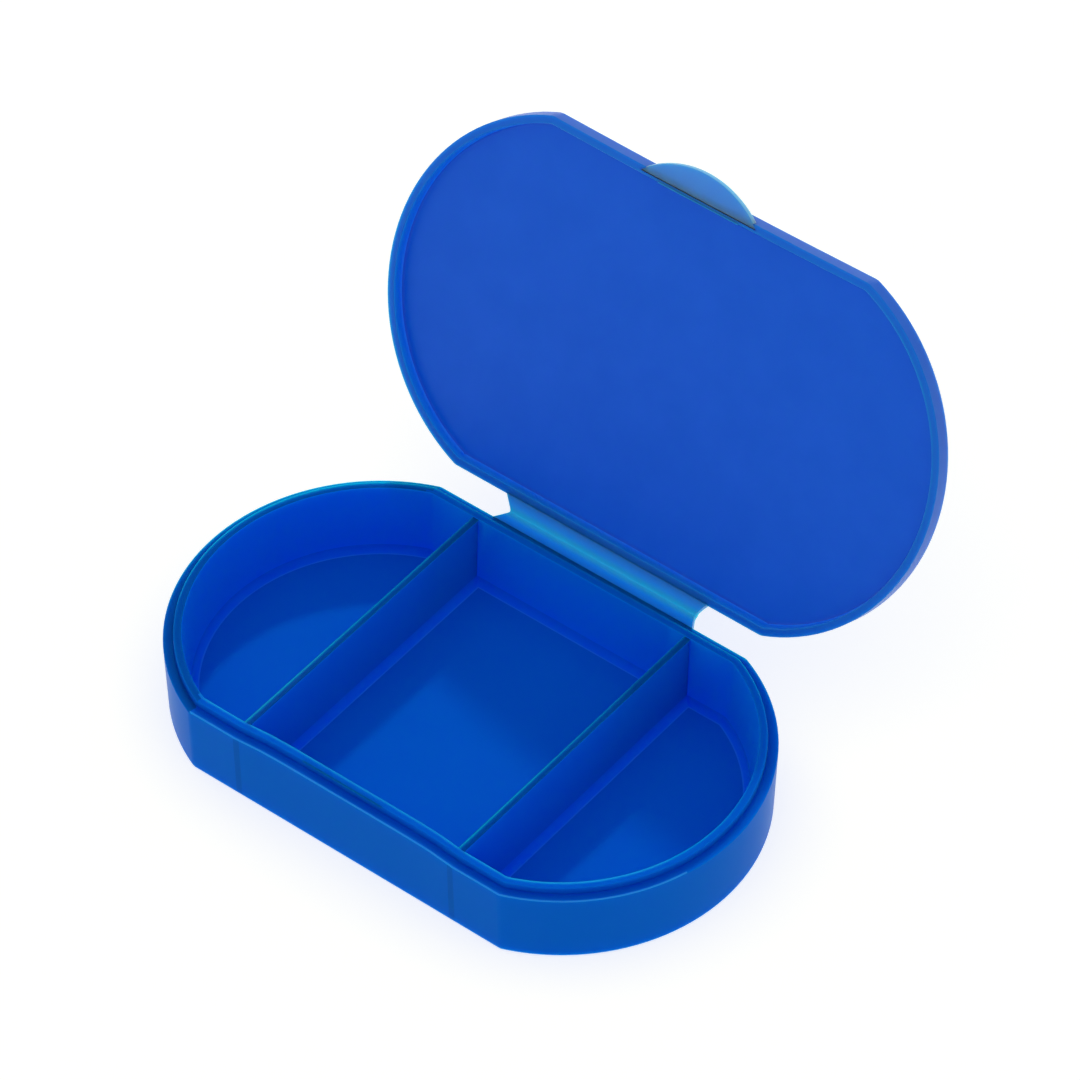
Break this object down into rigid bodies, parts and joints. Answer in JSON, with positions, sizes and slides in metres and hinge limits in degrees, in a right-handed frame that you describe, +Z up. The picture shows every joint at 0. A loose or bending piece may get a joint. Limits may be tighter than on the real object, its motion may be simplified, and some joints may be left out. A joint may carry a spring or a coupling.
{
  "type": "pill box",
  "caption": "Shallow pill box with rounded ends, two cross dividers, a living-hinged lid standing open and a thumb tab on its front edge.",
  "frame": {"origin": "centre of the flat underside of the tray, under the middle of its outline", "axes": "+Z up out of the tray, +X along the hinge line, +Y from the front with the thumb tab to the hinge at the back"},
  "size_m": [0.081, 0.0726, 0.0584],
  "materials": {
    "tray_polypropylene": "moulded translucent blue polypropylene, smooth inside, soft gloss outside",
    "lid_polypropylene": "moulded translucent blue polypropylene, soft satin gloss",
    "hinge_polypropylene": "thin flexed polypropylene, paler along the fold",
    "tab_polypropylene": "thin translucent polypropylene, paler than the lid"
  },
  "bodies": {
    "tray": {"base_floor": "tray_polypropylene", "base_wall_front": "tray_polypropylene", "base_wall_back": "tray_polypropylene", "base_wall_left": "tray_polypropylene", "base_wall_right": "tray_polypropylene", "rim_lip_front": "tray_polypropylene", "rim_lip_back": "tray_polypropylene", "rim_lip_left": "tray_polypropylene", "rim_lip_right": "tray_polypropylene", "divider_left": "tray_polypropylene", "divider_right": "tray_polypropylene", "lip_snap_bead": "tray_polypropylene", "hinge_leaf_base": "hinge_polypropylene", "hinge_film": "hinge_polypropylene"},
    "lid": {"lid_panel": "lid_polypropylene", "lid_skirt_front": "lid_polypropylene", "lid_skirt_back": "lid_polypropylene", "lid_skirt_left": "lid_polypropylene", "lid_skirt_right": "lid_polypropylene", "lid_snap_ridge": "lid_polypropylene", "thumb_tab": "tab_polypropylene", "hinge_leaf_lid": "hinge_polypropylene"}
  },
  "joints": [
    {"name": "lid_hinge", "type": "hinge", "parent": "tray", "child": "lid", "pos_m": [0, 0.026, 0.0101], "axis": [-1, 0, 0], "range_deg": [-113.8, 66.2]}
  ]
}
